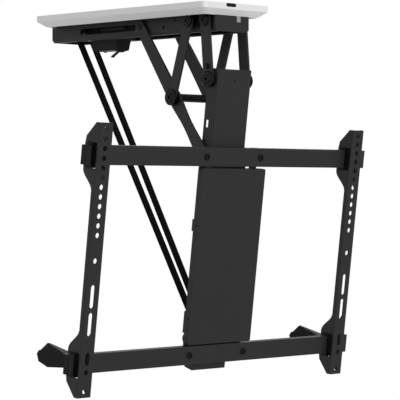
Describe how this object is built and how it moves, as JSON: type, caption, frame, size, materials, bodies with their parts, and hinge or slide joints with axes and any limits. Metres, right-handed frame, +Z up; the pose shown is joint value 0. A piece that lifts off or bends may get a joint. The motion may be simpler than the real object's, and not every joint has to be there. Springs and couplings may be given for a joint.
{
  "type": "motorised television ceiling mount",
  "caption": "Motorised ceiling mount: a strap lift folds a bracket frame for a television up flat under a shallow ceiling unit by a slider linkage.",
  "frame": {"origin": "middle of the ceiling plate's top face, where it meets the ceiling", "axes": "+Z up, -Y towards the viewer of the screen, +X to the right seen from the screen's front"},
  "size_m": [0.637, 0.425, 0.6147],
  "materials": {
    "white_plastic": "satin white moulded plastic",
    "window_black": "glossy black infrared window",
    "black_steel": "fine-textured matte black powder coat",
    "plate_steel": "matte black powder coat",
    "bolt_black": "black oxide steel",
    "black_plastic": "satin black moulded plastic",
    "strap_web": "woven black webbing",
    "motor_steel": "zinc plated steel",
    "gear_alloy": "cast alloy",
    "zinc": "zinc plated",
    "board_green": "solder mask",
    "lens_grey": "pale grey lens"
  },
  "bodies": {
    "ceiling_unit": {"ceiling_plate": "plate_steel", "ceiling_cover": "white_plastic", "ir_window": "window_black", "ir_receiver": "board_green", "chassis": "black_steel", "front_end_plate": "black_steel", "rear_end_plate": "black_steel", "status_lens": "lens_grey", "pivot_bracket": "black_steel", "front_pivot_bolts": "bolt_black", "rear_pivot_bolts": "bolt_black", "lift_motor": "motor_steel", "gearbox": "gear_alloy", "spool_bearings": "gear_alloy", "lifting_straps": "strap_web", "control_box": "black_plastic", "switch_box": "black_plastic", "box_screws": "bolt_black", "power_socket": "black_plastic", "circuit_board": "board_green"},
    "strap_drum": {"strap_spool": "zinc"},
    "limit_arm": {"limit_lever": "black_plastic"},
    "carriage": {"slide_carriage": "black_plastic", "carriage_rollers": "zinc"},
    "front_arms": {"front_arm_left": "black_steel", "front_arm_right": "black_steel", "stop_pins": "bolt_black"},
    "rear_arms": {"rear_arm_left": "black_steel", "rear_arm_right": "black_steel"},
    "long_links": {"long_link_left": "black_steel", "long_link_right": "black_steel", "cross_tube": "bolt_black", "link_bolts": "bolt_black", "link_washers": "bolt_black", "slot_pins": "bolt_black", "lower_link_bolts": "bolt_black"},
    "tv_frame": {"column": "black_steel", "frame_pivot_bolts": "bolt_black", "back_plate": "black_steel", "front_panel": "black_steel", "panel_screws": "zinc", "upper_rail": "black_steel", "lower_rail": "black_steel", "rail_end_caps": "black_plastic", "rail_bolts": "bolt_black", "strap_pin": "bolt_black"},
    "left_hanger": {"left_bracket": "black_steel", "left_glides": "black_plastic", "left_lever_pin": "zinc"},
    "left_lever": {"left_lock_lever": "black_plastic"},
    "right_hanger": {"right_bracket": "black_steel", "right_glides": "black_plastic", "right_lever_pin": "zinc"},
    "right_lever": {"right_lock_lever": "black_plastic"}
  },
  "joints": [
    {"name": "front_arm_swing", "type": "hinge", "parent": "ceiling_unit", "child": "front_arms", "pos_m": [0, -0.1755, -0.0265], "axis": [-1, 0, 0], "range_deg": [0, 55.7], "deforming": ["lifting_straps"]},
    {"name": "frame_fold", "type": "hinge", "parent": "front_arms", "child": "tv_frame", "pos_m": [0, -0.1832, -0.122], "axis": [1, 0, 0], "range_deg": [0, 138.5]},
    {"name": "rear_arm_swing", "type": "hinge", "parent": "ceiling_unit", "child": "rear_arms", "pos_m": [0, -0.1435, -0.0265], "axis": [1, 0, 0], "range_deg": [0, 59.49]},
    {"name": "long_link_swing", "type": "hinge", "parent": "rear_arms", "child": "long_links", "pos_m": [0, -0.1055, -0.1488], "axis": [-1, 0, 0], "range_deg": [0, 104.5]},
    {"name": "carriage_slide", "type": "slide", "parent": "ceiling_unit", "child": "carriage", "axis": [0, 1, 0], "range_m": [0, 0.147]},
    {"name": "drum_spin", "type": "hinge", "parent": "ceiling_unit", "child": "strap_drum", "pos_m": [0, 0.155, -0.0245], "axis": [1, 0, 0], "range_deg": [0, 1980]},
    {"name": "limit_lever_swing", "type": "hinge", "parent": "ceiling_unit", "child": "limit_arm", "pos_m": [0, 0.0751, -0.0628], "axis": [1, 0, 0], "range_deg": [0, 28]},
    {"name": "left_bracket_slide", "type": "slide", "parent": "tv_frame", "child": "left_hanger", "axis": [1, 0, 0], "range_m": [-0.01, 0.19]},
    {"name": "right_bracket_slide", "type": "slide", "parent": "tv_frame", "child": "right_hanger", "axis": [1, 0, 0], "range_m": [-0.18, 0.019]},
    {"name": "left_lever_swing", "type": "hinge", "parent": "left_hanger", "child": "left_lever", "pos_m": [-0.2925, -0.14488, -0.56214], "axis": [1, 0, 0], "range_deg": [0, 35]},
    {"name": "right_lever_swing", "type": "hinge", "parent": "right_hanger", "child": "right_lever", "pos_m": [0.283, -0.14488, -0.56214], "axis": [1, 0, 0], "range_deg": [0, 35]}
  ],
  "couplings": [
    {"joint": "frame_fold", "follows": "front_arm_swing", "ratio": 2.4865},
    {"joint": "rear_arm_swing", "follows": "front_arm_swing", "ratio": 1.068},
    {"joint": "long_link_swing", "follows": "front_arm_swing", "ratio": 1.8761},
    {"joint": "carriage_slide", "follows": "front_arm_swing", "m_per_rad": 0.15121},
    {"joint": "drum_spin", "follows": "front_arm_swing", "ratio": 35.547},
    {"joint": "limit_lever_swing", "follows": "front_arm_swing", "ratio": 0.50269}
  ]
}
